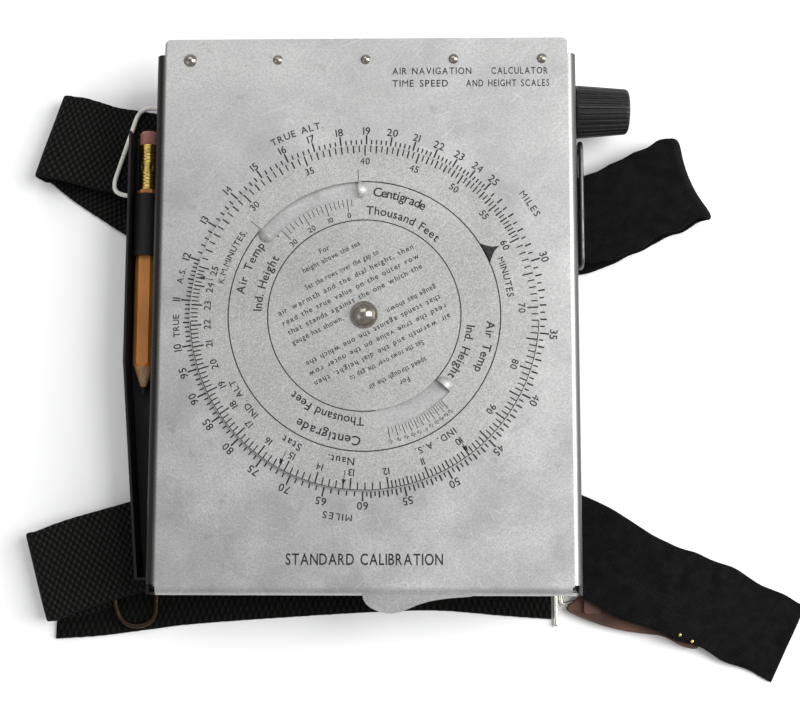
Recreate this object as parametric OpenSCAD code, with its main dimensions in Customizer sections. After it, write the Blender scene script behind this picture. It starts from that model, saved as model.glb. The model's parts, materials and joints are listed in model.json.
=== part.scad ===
// Strap-on navigational computer: a shallow box with a roller chart and a compass
// rose inside, and a hinged lid that carries a circular slide rule.
// +X is the pilot's right, +Y runs to the hinge, +Z is out of the lid.
// The origin is on the flat back of the case, straight below the dial's pivot.

/* [Case] */
// Width of the case
case_w = 142; // [141:0.5:142.6]
// Length of the case along the chart
case_l = 184; // [183:0.5:184.4]
// Height of the case walls
case_h = 26.8; // [26.4:0.1:26.9]
// Thickness of the case sheet
case_t = 1.0; // [0.8:0.1:1.2]
// Outside radius of the case's upright corners
case_r = 3; // [2:0.5:4]

/* [Lid] */
// Width over the rolled sides of the lid
lid_w = 145.2; // [145.2:0.1:146]
// Distance from the dial's pivot to the front edge of the lid
lid_front = 93.5; // [93.5:0.1:94]
// Distance from the dial's pivot to the hinge edge of the lid
lid_back = 97; // [96:0.5:97]
// Height of the lid's top face
lid_top = 28.8; // [28.8:0.1:29]
// Thickness of the lid sheet
lid_t = 1.0; // [0.8:0.1:1.0]
// Outside radius of the rolled edges
lid_roll = 3; // [2:0.5:3]
// How far the rolled edges reach down over the case
lid_skirt = 7.8; // [6:0.2:7.8]
// Spacing of the hinge rivets
rivet_pitch = 30.4; // [28:0.2:31]

/* [Dial] */
// Radius of the turning disc
disc_r = 59; // [56:0.5:60]
// Thickness of the turning disc
disc_t = 0.9; // [0.7:0.1:1.0]
// Inner and outer radius of the height window
height_window = [40.4, 46.0];
// Start and end of the height window, clockwise from the hinge edge
height_arc = [310, 357.3];
// Inner and outer radius of the air speed window
speed_window = [32.4, 38.8];
// Start and end of the air speed window, clockwise from the hinge edge
speed_arc = [132, 173.1];
// Radius of the domed pivot head
dome_r = 3.7; // [3:0.1:4.5]

/* [Roller chart] */
// Distance of each roller's axis from the dial's pivot
roller_y = 75.4; // [74:0.1:76]
// Height of the roller axes above the back
roller_z = 12.5; // [12:0.1:12.6]
// Radius of the rollers
roller_r = 7; // [6:0.1:7]
// Width of the chart belt
belt_w = 112; // [108:1:114]
// Thickness of the chart belt
belt_t = 0.3; // [0.2:0.05:0.3]
// Radius of the round window over the chart
rose_window_r = 54; // [50:0.5:54]

/* [Knob] */
// Radius of the knob at its case end
knob_r = 9.3; // [8:0.1:9.5]
// Radius of the knob at its outer end
knob_end_r = 8.0; // [7:0.1:8.4]
// Length of the knob
knob_l = 19.1; // [17:0.1:20]
// Number of flutes round the knob
knob_flutes = 30; // [18:1:36]

/* [Pencil] */
// Width of the pencil across its flats
pencil_flats = 6.8; // [6.4:0.1:7]
// Length of the painted wood
pencil_wood_l = 70; // [40:1:120]
// Distance that the point slopes over
pencil_point_l = 9; // [7:1:12]

/* [Straps] */
// Width of the webbing
strap_w = 32; // [30:0.5:32]
// Thickness of the webbing
strap_t = 1.6; // [1.4:0.1:1.6]
// Radius of the strap ring wire
ring_wire_r = 0.8; // [0.7:0.05:0.9]

/* [Hidden] */

$fn = 64;
half_w = case_w / 2;
half_l = case_l / 2;
run_gap = 0.05;      // radial clearance of running fits

// hinge
lid_under = lid_top - lid_t;
knuckle_r = 2.0;
pin_r = 1.0;
leaf_t = 0.8;
pin_y = half_l + 2.4;
pin_z = lid_under - 2.4;
hinge_w = 132;
knuckle_n = 11;
knuckle_w = hinge_w / knuckle_n;
knuckle_gap = 0.2;
leaf_rivet_r = 0.9;
leaf_rivet_z = 16;
channel_rivet_z = 17.6;
catch_rivet_z = 12;
lid_rivet_y = 89.5;
lid_rivet_r = 1.0;

// inside the case
floor_z = case_t;
frame_x = 61;
frame_t = 1.2;
face_z = 22.4;
face_t = 1.0;
face_top = face_z + face_t;
shaft_r = 2.0;
shaft_end = 91;
knob_x = half_w + 2.4;
grub_x = half_w + 8.6;
grub_r = 1.25;
platen_t = 1.0;
belt_gap = 0.05;
belt_in_r = roller_r + belt_gap;
belt_out_r = belt_in_r + belt_t;
bush_r = 4.0;
rose_r = 58;
glass_r = 50;
screw_r = 1.4;

// lid and dial
stud_r = 2.5;
stud_thread_r = 2.0;
disc_z = lid_top + 0.1;
disc_top = disc_z + disc_t;
washer_z = disc_top + 0.05;
washer_t = 0.5;
washer_r = 4.6;
grip_w = 6.0;
grip_h = 1.8;
grip_t = 0.4;
height_grip_r = 43.2;
speed_grip_r = 35.6;
tab_z = lid_top - 2.3;
tab_droop = 14;
tab_outline = [
  [0.2, 0.2], [-0.2, -0.4], [0, -2], [0.9, -3.6], [2.6, -5], [5, -6.1], [7.6, -6.7],
  [10, -6.8], [12.6, -6.2], [15.4, -5], [18.4, -3.7], [21.6, -2.7], [25, -2.0],
  [29, -1.5], [34, -1.1], [36, -0.9], [36, 0.2]
];

// pencil channel
channel_w = 13.2;
channel_foot_w = 7.2;
channel_bend_y = -14;
channel_t = 0.8;
channel_z = 6.6;
channel_wall_top = 17.5;
channel_back_top = 20.2;
channel_y = [-89, 68];
pencil_x = -78.2;
pencil_z = 11.2;
pencil_top = 69;
eraser_l = 5;
ferrule_l = 16.5;
ferrule_r = 3.5;
clip_in_r = 4.15;
clip_t = 0.6;
clip_rim = 0.35;
clip_y = [23.5, 46];

// straps
strap_z = -1.2;
fold_r = 4.6;
upper_fold = [-111.4, 68.6, strap_z + fold_r];
loop_z = 0.5;
lower_fold_r = 3.85;
lower_fold = [-111, -88.0, loop_z + lower_fold_r];
right_fold = [113.3, 52.2, strap_z + fold_r];
left_limb_x = -73.7;
right_limb_x = 75.6;
upper_ring_z = 4.8;
lower_ring_z = 2.3;
right_ring_z = [3.2, 12.8];
buckle_x = 66.1;
buckle_z = -1.1;
bar_r = 0.85;
lug_l = 10;

// ---------- helpers ----------

function unit(v) = v / norm(v);
function clockwise(a, r) = [r * sin(a), r * cos(a)];

// corners of a polyline replaced with arcs that start at distance d from them
function rounded(p, d, n = 5, closed = true) =
  let (k = len(p))
  [for (i = [0 : k - 1])
    let (a = p[(i + k - 1) % k], b = p[i], c = p[(i + 1) % k])
    if (!closed && (i == 0 || i == k - 1)) b
    else
      let (s = b + unit(a - b) * min(d, norm(a - b) / 2.1),
           e = b + unit(c - b) * min(d, norm(c - b) / 2.1))
      for (j = [0 : n]) let (t = j / n)
        (1 - t) * (1 - t) * s + 2 * t * (1 - t) * b + t * t * e];

// a half turn of webbing about a centre, from its top run to its bottom run
function fold(c, heading, yaw, r, n = 8) =
  [for (i = [0 : n]) let (a = 90 - 180 * i / n)
    [c.x + r * cos(a) * cos(heading), c.y + r * cos(a) * sin(heading),
     c.z + r * sin(a), yaw]];

function place(v) = [v.x, v.y, v.z];

// sweep: rings of m points along a path, closed on itself or with end caps
module skin(rings, closed) {
  k = len(rings);
  m = len(rings[0]);
  last = closed ? k - 1 : k - 2;
  sides = [for (i = [0 : last], j = [0 : m - 1])
    let (a = i * m, b = ((i + 1) % k) * m, q = (j + 1) % m)
    each [[a + j, a + q, b + q], [a + j, b + q, b + j]]];
  caps = closed ? [] : [[for (j = [m - 1 : -1 : 0]) j],
                        [for (j = [0 : m - 1]) (k - 1) * m + j]];
  polyhedron([for (r = rings) each r], concat(sides, caps), convexity = 4);
}

// round wire along a closed path
module wire(p, r, m = 8) {
  k = len(p);
  skin([for (i = [0 : k - 1])
    let (t = unit(p[(i + 1) % k] - p[(i + k - 1) % k]),
         u = unit(cross(t, abs(t.z) > 0.9 ? [1, 0, 0] : [0, 0, 1])), v = cross(t, u))
    [for (j = [0 : m - 1]) p[i] + r * (u * cos(360 * j / m) - v * sin(360 * j / m))]],
    true);
}

// flat band along [x, y, z, yaw] stations, where yaw is the way its width points
module band(p, w, t) {
  k = len(p);
  skin([for (i = [0 : k - 1])
    let (d = unit(place(p[min(i + 1, k - 1)]) - place(p[max(i - 1, 0)])),
         across = [cos(p[i][3]), sin(p[i][3]), 0], n = unit(cross(d, across)),
         c = place(p[i]))
    [c - across * w / 2 - n * t / 2, c + across * w / 2 - n * t / 2,
     c + across * w / 2 + n * t / 2, c - across * w / 2 + n * t / 2]], false);
}

module rounded_plate(w, l, r, h) {
  linear_extrude(h) {
    square([w - 2 * r, l], center = true);
    square([w, l - 2 * r], center = true);
    for (x = [-1, 1], y = [-1, 1])
      translate([x * (w / 2 - r), y * (l / 2 - r)]) circle(r);
  }
}

module rounded_block(size, r) {
  translate([size.x / 2, size.y / 2, 0]) rounded_plate(size.x, size.y, r, size.z);
}

module along_x(x0, x1, y, z, r) {
  translate([x0, y, z]) rotate([0, 90, 0]) cylinder(h = x1 - x0, r = r);
}

module along_y(y0, y1, x, z, r) {
  translate([x, y0, z]) rotate([-90, 0, 0]) cylinder(h = y1 - y0, r = r);
}

// ring sector between two clockwise angles
module arc_slot(radii, arc, h) {
  mid = (arc[0] + arc[1]) / 2;
  span = arc[1] - arc[0];
  reach = radii[1] * 2;
  rotate(-mid) linear_extrude(h) difference() {
    intersection() {
      circle(radii[1]);
      polygon([[0, 0], clockwise(-span / 2, reach), clockwise(span / 2, reach)]);
    }
    circle(radii[0]);
  }
}

// domed head: base radius a, height h, standing on z = 0
module dome(a, h) {
  r = (a * a + h * h) / (2 * h);
  rotate_extrude() intersection() {
    translate([0, h - r]) circle(r);
    square([a, h]);
  }
}

// every second hinge knuckle: those from 0 are on the case, those from 1 on the lid
module knuckles(first) {
  for (i = [first : 2 : knuckle_n - 1]) {
    x0 = -hinge_w / 2 + i * knuckle_w + knuckle_gap / 2;
    along_x(x0, x0 + knuckle_w - knuckle_gap, pin_y, pin_z, knuckle_r);
  }
}

// ---------- case ----------

module case_shell() {
  color("#2a2a2c") difference() {
    rounded_plate(case_w, case_l, case_r, case_h);
    translate([0, 0, case_t])
      rounded_plate(case_w - 2 * case_t, case_l - 2 * case_t, case_r - case_t, case_h);
    along_x(half_w - 2, half_w + 2, roller_y, roller_z, bush_r);
    // slot for the nose of the catch spring
    translate([3, -half_l - 1, 21]) cube([12, 3, 4]);
    for (x = leaf_rivet_xs())
      along_y(half_l - 2, half_l + 1, x, leaf_rivet_z, leaf_rivet_r);
    for (y = channel_rivet_ys())
      along_x(-half_w - 1, -half_w + 2, y, channel_rivet_z, leaf_rivet_r);
    for (x = catch_rivet_xs())
      along_y(-half_l - 1, -half_l + 2, x, catch_rivet_z, leaf_rivet_r);
  }
}

function leaf_rivet_xs() = [for (i = [-2 : 2]) i * 28];
function channel_rivet_ys() = [-80, -10, 58];
function catch_rivet_xs() = [6, 12];

module case_hinge_leaf() {
  color("#4a4a4c") difference() {
    union() {
      knuckles(0);
      translate([-hinge_w / 2, half_l, 12]) cube([hinge_w, leaf_t, pin_z - 2.3 - 12]);
      for (i = [0 : 2 : knuckle_n - 1])
        translate([-hinge_w / 2 + i * knuckle_w + knuckle_gap / 2, half_l, 20])
          cube([knuckle_w - knuckle_gap, leaf_t, pin_z - 20]);
    }
    along_x(-hinge_w, hinge_w, pin_y, pin_z, pin_r + run_gap);
    for (x = leaf_rivet_xs()) along_y(half_l - 2, half_l + 3, x, leaf_rivet_z, leaf_rivet_r);
  }
}

module side_rivet(head_r, head_h, shank_l) {
  dome(head_r, head_h);
  translate([0, 0, -shank_l]) cylinder(h = shank_l + 0.01, r = leaf_rivet_r - 0.02);
}

module case_leaf_rivets() {
  color("#9a9a98") for (x = leaf_rivet_xs())
    translate([x, half_l + leaf_t, leaf_rivet_z]) rotate([-90, 0, 0])
      side_rivet(1.6, 0.9, case_t + leaf_t);
}

module hinge_pin() {
  color("#b0b0b0") along_x(-hinge_w / 2 - 1, hinge_w / 2 + 1, pin_y, pin_z, pin_r);
}

module catch_spring() {
  nose_y = -lid_front + lid_t + 0.1;
  color("#c8b070") translate([4, 0, 0]) rotate([90, 0, 90]) linear_extrude(10)
    difference() {
      polygon([[-half_l + case_t, 8], [-half_l + case_t, 21.6], [nose_y, 22.6],
               [nose_y, 23.4], [-half_l + case_t, 24.4], [-half_l + case_t + 2.6, 24.4],
               [-half_l + case_t + 0.5, 21], [-half_l + case_t + 0.5, 8]]);
      polygon([[-half_l + case_t + 0.5, 22.0], [nose_y + 0.6, 22.9], [nose_y + 0.6, 23.1],
               [-half_l + case_t + 0.5, 23.8], [-half_l + case_t + 1.6, 23.8]]);
    }
}

module catch_rivets() {
  color("#9a9a98") for (x = catch_rivet_xs())
    translate([x, -half_l + case_t + 0.5, catch_rivet_z]) rotate([-90, 0, 0])
      dome(1.5, 0.8);
}

// ---------- inside ----------

function face_screw_spots() = [for (x = [-1, 1], y = [-1, 1]) [x * 64.5, y * 82]];
function retainer_screw_spots() = [for (a = [45 : 90 : 315]) clockwise(a, 60.2)];

module face_plate() {
  color("#3a3a3c") difference() {
    translate([0, 0, face_z])
      rounded_plate(case_w - 2 * case_t - 0.4, case_l - 2 * case_t - 0.4,
                    case_r - case_t, face_t);
    translate([0, 0, face_z - 1]) cylinder(h = 3, r = rose_window_r, $fn = 128);
    // room for the catch spring
    translate([3, -half_l, face_z - 1]) cube([12, 5, 3]);
    for (p = face_screw_spots())
      translate([p.x, p.y, face_z - 1]) cylinder(h = 3, r = screw_r);
    for (p = retainer_screw_spots())
      translate([p.x, p.y, face_z - 1]) cylinder(h = 3, r = screw_r - 0.4);
  }
}

module flat_screw(head_r, head_h, shank_r, shank_l) {
  difference() {
    union() {
      cylinder(h = head_h, r = head_r);
      translate([0, 0, -shank_l]) cylinder(h = shank_l + 0.01, r = shank_r);
    }
    translate([-head_r, -0.3, head_h - 0.45]) cube([2 * head_r, 0.6, 1]);
  }
}

module face_screws() {
  color("#8c8c8c") for (p = face_screw_spots())
    translate([p.x, p.y, face_top]) rotate(p.x * 3 + p.y) flat_screw(2.6, 1.2, screw_r - 0.05, 4);
}

module rose_retainer() {
  color("#1e1e20") difference() {
    rotate_extrude($fn = 128)
      polygon([[rose_r + 0.1, face_top], [63, face_top], [63, face_top + 1.0],
               [62.5, face_top + 1.5], [rose_r - 1, face_top + 1.5],
               [rose_r - 1, face_top + 1.1], [rose_r + 0.1, face_top + 1.1]]);
    for (p = retainer_screw_spots())
      translate([p.x, p.y, face_top - 1]) cylinder(h = 4, r = screw_r - 0.4);
  }
}

module retainer_screws() {
  color("#8c8c8c") for (p = retainer_screw_spots())
    translate([p.x, p.y, face_top + 1.5]) rotate(p.x)
      flat_screw(1.9, 0.9, screw_r - 0.45, face_t + 1.5);
}

module chart_platen() {
  top = roller_z + belt_in_r - 0.15;
  color("#8f9294") translate([-frame_x, -64, top - platen_t]) cube([2 * frame_x, 128, platen_t]);
}

// side frame with a top flange for the face plate and a foot on the floor
module side_frame(side) {
  reach = 6;
  web = side < 0 ? -frame_x - frame_t : frame_x;
  lip = side < 0 ? -frame_x - reach : frame_x;
  difference() {
    union() {
      translate([web, -86, floor_z]) cube([frame_t, 172, face_z - floor_z]);
      translate([lip, -86, face_z - frame_t]) cube([reach, 172, frame_t]);
      translate([lip, -86, floor_z]) cube([reach, 172, frame_t]);
    }
    for (y = [-roller_y, roller_y])
      along_x(web - 1, web + frame_t + 1, y, roller_z, shaft_r + run_gap);
    for (p = face_screw_spots()) if (p.x * side > 0)
      translate([p.x, p.y, face_z - 3]) cylinder(h = 4, r = screw_r);
  }
}

module left_side_frame() { color("#7d8082") side_frame(-1); }
module right_side_frame() { color("#7d8082") side_frame(1); }

module drive_bush() {
  color("#b5903c") difference() {
    union() {
      along_x(half_w - 3, half_w + 1.6, roller_y, roller_z, bush_r - 0.02);
      along_x(half_w, half_w + 1.6, roller_y, roller_z, 5.2);
    }
    along_x(half_w - 4, half_w + 3, roller_y, roller_z, shaft_r + run_gap);
  }
}

module loop_2d(r) {
  for (y = [-roller_y, roller_y]) translate([y, roller_z]) circle(r, $fn = 96);
  translate([0, roller_z]) square([2 * roller_y, 2 * r], center = true);
}

module chart_belt() {
  color("#e9e4d2") translate([-belt_w / 2, 0, 0]) rotate([90, 0, 90]) linear_extrude(belt_w)
    difference() { loop_2d(belt_out_r); loop_2d(belt_in_r); }
}

// ---------- pencil channel ----------

// outline seen from above, with its outer wall grown or shrunk by d
module channel_outline(d) {
  x = -half_w;
  polygon([[x, channel_y[0] - d], [x, channel_y[1]], [x - channel_w - d, channel_y[1]],
           [x - channel_w - d, channel_bend_y], [x - channel_foot_w - d, channel_y[0] - d]]);
}

module pencil_channel() {
  l = channel_y[1] - channel_y[0];
  color("#1c1c1e") difference() {
    union() {
      translate([0, 0, channel_z]) linear_extrude(channel_t) channel_outline(0);
      translate([0, 0, channel_z]) linear_extrude(channel_wall_top - channel_z)
        difference() {
          channel_outline(0);
          channel_outline(-channel_t);
        }
      translate([-half_w - channel_t, channel_y[0], channel_z])
        cube([channel_t, l, channel_back_top - channel_z]);
    }
    for (y = channel_rivet_ys())
      along_x(-half_w - 3, -half_w + 2, y, channel_rivet_z, leaf_rivet_r);
  }
}

module channel_rivets() {
  color("#55555a") for (y = channel_rivet_ys())
    translate([-half_w - channel_t, y, channel_rivet_z]) rotate([0, -90, 0])
      side_rivet(1.5, 0.7, case_t + channel_t);
}

module pencil_clip() {
  l = clip_y[1] - clip_y[0];
  out_r = clip_in_r + clip_t;
  foot_z = channel_z + channel_t;
  module arch(outer, y0, length) {
    translate([pencil_x, y0 + length, 0]) rotate([90, 0, 0]) linear_extrude(length)
      difference() {
        union() {
          translate([0, pencil_z]) circle(outer);
          translate([-outer, foot_z]) square([2 * outer, pencil_z - foot_z]);
        }
        translate([0, pencil_z]) circle(clip_in_r);
        translate([-clip_in_r, foot_z - 6]) square([2 * clip_in_r, pencil_z - foot_z + 6]);
        translate([-outer - 1, foot_z - 10]) square([2 * outer + 2, 10]);
      }
  }
  color("#202022") {
    arch(out_r, clip_y[0], l);
    arch(out_r + clip_rim, clip_y[0], 1.8);
  }
}

// ---------- strap fittings ----------

// block with a round way through it along Y for a ring's wire
module lug(x0, x1, y, z0, z1, wire_x, wire_z, r) {
  difference() {
    translate([x0, y - lug_l / 2, z0]) cube([x1 - x0, lug_l, z1 - z0]);
    along_y(y - lug_l, y + lug_l, wire_x, wire_z, r + 0.1);
  }
}

module upper_left_lug() {
  color("#4c4c50")
    lug(-half_w - 4.4, -half_w, 63, upper_ring_z - 1.7, upper_ring_z + 1.7,
        left_limb_x, upper_ring_z, ring_wire_r);
}

module lower_left_lug() {
  color("#4c4c50")
    lug(-half_w - 4.4, -half_w, -84, lower_ring_z - 1.4, lower_ring_z + 1.2,
        left_limb_x, lower_ring_z, ring_wire_r);
}

module upper_right_lug() {
  color("#4c4c50")
    lug(half_w, half_w + 6.3, 46, right_ring_z[0] - 1.8, right_ring_z[0] + 1.8,
        right_limb_x, right_ring_z[0], ring_wire_r + 0.1);
}

module upper_left_ring() {
  z = upper_ring_z;
  color("#e8e6e0") wire(rounded([[left_limb_x, 47.6, z], [left_limb_x, 79.8, z],
    [-83.3, 80.4, z], [-92.8, 50.2, z], [-88.6, 47.4, z]], 5), ring_wire_r);
}

module lower_left_ring() {
  z = lower_ring_z;
  color("#5a4632") wire(rounded([[left_limb_x, -103, z], [left_limb_x, -71, z],
    [-88.4, -71, z], [-88.4, -98, z], [-85.4, -104.6, z], [-79, -106, z]], 4), ring_wire_r);
}

module upper_right_ring() {
  x = right_limb_x;
  color("#4a4a4c") wire(rounded([[x, 20.4, right_ring_z[0]], [x, 64.6, right_ring_z[0]],
    [x, 64.6, right_ring_z[1]], [x, 20.4, right_ring_z[1]]], 4), ring_wire_r + 0.1);
}

module lower_right_ring() {
  z = buckle_z;
  color("#e2dcc8") wire(rounded([[67.9, -98.4, z], [67.9, -73, z], [88, -73, z],
    [88, -92.6, z], [77, -95.4, z]], 2.4), ring_wire_r);
}

// plain bar beside the ring, at the end of the lower webbing
module buckle_bar() {
  color("#d8d2c0") {
    along_y(-104.8, -73, buckle_x, buckle_z, bar_r);
    for (y = [-104.8, -73]) translate([buckle_x, y, buckle_z]) sphere(bar_r);
  }
}

// ---------- webbing ----------

module upper_webbing() {
  route = concat(
    [[-77.6, 62.6, 3.1, 84], [-87, 64.2, 3.1, 82], [-94.5, 65.4, 3.2, 80],
     [-102, 66.9, 6.4, 77], [-107, 68, 7.7, 76]],
    fold(upper_fold, 164, 72, fold_r),
    [[-100, 60.6, strap_z, 61], [-90, 54, strap_z, 58], [-78, 46.6, strap_z, 60],
     [-62, 40.6, strap_z, 74], [-40, 38, strap_z, 84], [0, 36.2, strap_z, 87],
     [54, 33.6, strap_z, 87]]);
  color("#1a1a1a") band(route, strap_w, strap_t);
}

module lower_left_loop() {
  route = concat(
    [[-77.6, -77.2, 4.55, 104], [-88, -80.2, 5.2, 105], [-98, -83.2, 7.4, 105],
     [-105, -85.6, 8.0, 105]],
    fold(lower_fold, 190, 106, lower_fold_r),
    [[-104, -87.2, loop_z, 108], [-96, -84.6, loop_z, 109], [-92.6, -83.4, loop_z, 109]]);
  color("#1a1a1a") band(route, strap_w, strap_t);
}

module lower_webbing() {
  color("#1a1a1a") band([[-109, -94.5, strap_z, 88], [-93, -93.4, strap_z, 88],
    [-77, -91.4, strap_z, 87], [-58, -89.1, strap_z, 87], [-16, -86.1, strap_z, 87],
    [10, -84.6, strap_z, 89], [26, -84.4, strap_z, 91], [46, -86, strap_z, 93],
    [64.6, -87.2, strap_z, 90]], strap_w, strap_t);
}

module upper_right_strap() {
  route = concat(
    [[72.4, 39.4, 6.4, 92], [78, 37.6, 6.8, 104], [87, 40.2, 7.4, 113],
     [96, 44.8, 7.9, 115], [105, 49, 8.0, 113]],
    fold(right_fold, 22, 112, fold_r),
    [[103, 48, strap_z, 114], [90, 41.6, strap_z, 114], [78, 36, strap_z, 108],
     [66, 33.4, strap_z, 92], [54.2, 33.6, strap_z, 87]]);
  color("#101010") band(route, strap_w, strap_t);
}

module lower_right_strap() {
  color("#101010") band([[72.6, -74.8, 4.6, 88], [77.4, -77.8, 5.0, 72], [82, -81.2, 5.2, 60],
    [88, -85.2, 5.2, 58], [97.6, -90.4, 5.0, 63], [110.6, -95.2, 4.2, 68],
    [122.1, -100.4, 2.6, 64], [133, -106, 0.2, 63], [141, -110, strap_z, 63],
    [146, -112.4, strap_z, 64]], strap_w, strap_t);
}

module leather_tab() {
  color("#7a4a30") translate([0, 0, -0.2]) linear_extrude(1.5)
    polygon(rounded([[68.6, -99.4], [78, -103.6], [89.5, -106.8], [103, -108.4],
      [110, -112.6], [116, -113.5], [114, -103], [100, -92], [84, -88]], 4));
}

module strap_keeper() {
  color("#4a3024") translate([75.6, -100.8, 1.35]) rounded_block([5.6, 5.2, 1.6], 0.8);
}

// riveted through the strap that lies over the tab
module tab_rivets() {
  color("#c8c4b8") for (p = [[108.0, -107.6, 5.5], [112.2, -109.8, 5.0]])
    translate(p) dome(0.6, 0.4);
}

// ---------- lid ----------

function lid_rivet_xs() = [for (i = [-2 : 2]) i * rivet_pitch];

// section of a rolled edge: top sheet, bend and skirt, with its outside at x = 0
module rolled_edge(inward) {
  difference() {
    union() {
      translate([lid_roll, -lid_roll]) circle(lid_roll);
      translate([lid_roll, -lid_t]) square([inward - lid_roll, lid_t]);
      translate([0, -lid_skirt]) square([lid_t, lid_skirt - lid_roll]);
    }
    translate([lid_roll, -lid_roll]) circle(lid_roll - lid_t);
    translate([lid_t, -lid_skirt - 1]) square([2 * lid_roll, lid_skirt + 1 - lid_roll]);
    translate([lid_roll, -2 * lid_roll - 1]) square([lid_roll + 1, 2 * lid_roll + 1 - lid_t]);
  }
}

module lid_shell() {
  half = lid_w / 2;
  side_l = lid_front + 91.5;
  color("#b4b6b8") difference() {
    union() {
      translate([-half + lid_roll, -lid_front + lid_roll, lid_under])
        cube([lid_w - 2 * lid_roll, lid_back + lid_front - lid_roll - 2, lid_t]);
      // hinge edge with rounded corners
      translate([-half + lid_roll + 2, lid_back - 4, lid_under])
        cube([lid_w - 2 * lid_roll - 4, 4, lid_t]);
      for (x = [-1, 1]) translate([x * (half - lid_roll - 2), lid_back - 2, lid_under])
        cylinder(h = lid_t, r = 2);
      for (m = [0, 1]) mirror([m, 0, 0])
        translate([-half, 91.5, lid_top]) rotate([90, 0, 0])
          linear_extrude(side_l - lid_roll - 0.6) rolled_edge(lid_roll + 1);
      translate([-half + lid_roll + 0.6, -lid_front, lid_top]) rotate([90, 0, 90])
        linear_extrude(lid_w - 2 * lid_roll - 1.2) rolled_edge(lid_roll + 1);
      // skirts run on below the notch at each front corner
      for (x = [-half, half - lid_t]) translate([x, -lid_front + 0.2, lid_top - lid_skirt])
        cube([lid_t, lid_roll + 1, lid_skirt - lid_roll - 0.5]);
      translate([-half + lid_t + 0.2, -lid_front, lid_top - lid_skirt])
        cube([lid_w - 2 * lid_t - 0.4, lid_t, lid_skirt - lid_roll - 0.5]);
      // thumb tab on the front edge
      translate([0, -lid_front + 1, tab_z]) rotate([tab_droop, 0, 0])
        linear_extrude(lid_t) polygon(tab_outline);
    }
    for (x = lid_rivet_xs())
      translate([x, lid_rivet_y, lid_under - 1]) cylinder(h = 4, r = lid_rivet_r);
    translate([0, 0, lid_under - 1]) cylinder(h = 4, r = stud_thread_r);
  }
}

module lid_hinge_leaf() {
  color("#8a8c8e") difference() {
    union() {
      knuckles(1);
      translate([-hinge_w / 2, 82, lid_under - leaf_t])
        cube([hinge_w, pin_y - 2.3 - 82, leaf_t]);
      for (i = [1 : 2 : knuckle_n - 1])
        translate([-hinge_w / 2 + i * knuckle_w + knuckle_gap / 2, 84, lid_under - leaf_t])
          cube([knuckle_w - knuckle_gap, pin_y - 84, leaf_t]);
    }
    along_x(-hinge_w, hinge_w, pin_y, pin_z, pin_r + run_gap);
    for (x = lid_rivet_xs())
      translate([x, lid_rivet_y, lid_under - 2]) cylinder(h = 4, r = lid_rivet_r);
  }
}

module lid_rivets() {
  color("#d6d6d4") for (i = [0 : 4]) translate([lid_rivet_xs()[i], lid_rivet_y, lid_top]) {
    dome(i == 0 ? 2.3 : 1.75, i == 0 ? 1.5 : 1.2);
    translate([0, 0, -lid_t - leaf_t])
      cylinder(h = lid_t + leaf_t + 0.01, r = lid_rivet_r - 0.02);
  }
}

module dial_stud() {
  head_z = washer_z + washer_t + 0.05;
  color("#d8d6d2") {
    translate([0, 0, head_z]) {
      cylinder(h = 0.5, r = dome_r);
      translate([0, 0, 0.5]) dome(dome_r, 2.5);
    }
    translate([0, 0, lid_top]) cylinder(h = head_z - lid_top + 0.01, r = stud_r);
    translate([0, 0, lid_under - 2.6])
      cylinder(h = lid_top - lid_under + 2.61, r = stud_thread_r - 0.02);
  }
}

module dial_washer() {
  color("#c2beb6") translate([0, 0, washer_z]) difference() {
    cylinder(h = washer_t, r = washer_r);
    translate([0, 0, -1]) cylinder(h = 3, r = stud_r + run_gap);
  }
}

module spring_washer() {
  color("#9a9a98") translate([0, 0, lid_under - 0.5]) difference() {
    cylinder(h = 0.5, r = 4.2);
    translate([0, 0, -1]) cylinder(h = 3, r = stud_thread_r + run_gap);
  }
}

module dial_nut() {
  color("#b8b6b0") translate([0, 0, lid_under - 2.5]) difference() {
    cylinder(h = 1.98, r = 4.2, $fn = 6);
    translate([0, 0, -1]) cylinder(h = 4, r = stud_thread_r + 0.01);
  }
}

// ---------- turning disc ----------

// finger grip: half a hollow dome whose open side faces a window's end
module grip(angle, radius, toward) {
  a = grip_w / 2;
  r = (a * a + grip_h * grip_h) / (2 * grip_h);
  rotate(-angle) translate([0, radius, disc_top]) mirror([toward, 0, 0]) difference() {
    intersection() {
      translate([0, 0, grip_h - r]) sphere(r);
      translate([0, -a, -0.3]) cube([a, grip_w, grip_h + 1]);
    }
    intersection() {
      translate([0, 0, grip_h - r]) sphere(r - grip_t);
      translate([-1, -a, 0]) cube([a + 1, grip_w, grip_h]);
    }
  }
}

module minutes_disc() {
  color("#b9bbbc") {
    difference() {
      translate([0, 0, disc_z]) cylinder(h = disc_t, r = disc_r, $fn = 180);
      translate([0, 0, disc_z - 1]) cylinder(h = 3, r = stud_r + run_gap);
      translate([0, 0, disc_z - 1]) arc_slot(height_window, height_arc, 3);
      translate([0, 0, disc_z - 1]) arc_slot(speed_window, speed_arc, 3);
    }
    for (i = [0, 1]) {
      grip(height_arc[i], height_grip_r, 1 - i);
      grip(speed_arc[i], speed_grip_r, 1 - i);
    }
  }
}

// ---------- compass rose ----------

module rose_ring() {
  color("#d8d4c4") rotate_extrude($fn = 128)
    polygon([[glass_r, face_z - 0.4], [rose_window_r - 0.08, face_z - 0.4],
             [rose_window_r - 0.08, face_top + 0.1], [rose_r, face_top + 0.1],
             [rose_r, face_top + 0.9], [glass_r, face_top + 0.9]]);
}

module rose_glass() {
  color("#cfe3e8", 0.4) translate([0, 0, face_z - 0.3])
    cylinder(h = 1.2, r = glass_r - 0.02, $fn = 128);
}

// ---------- roller drive ----------

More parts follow.
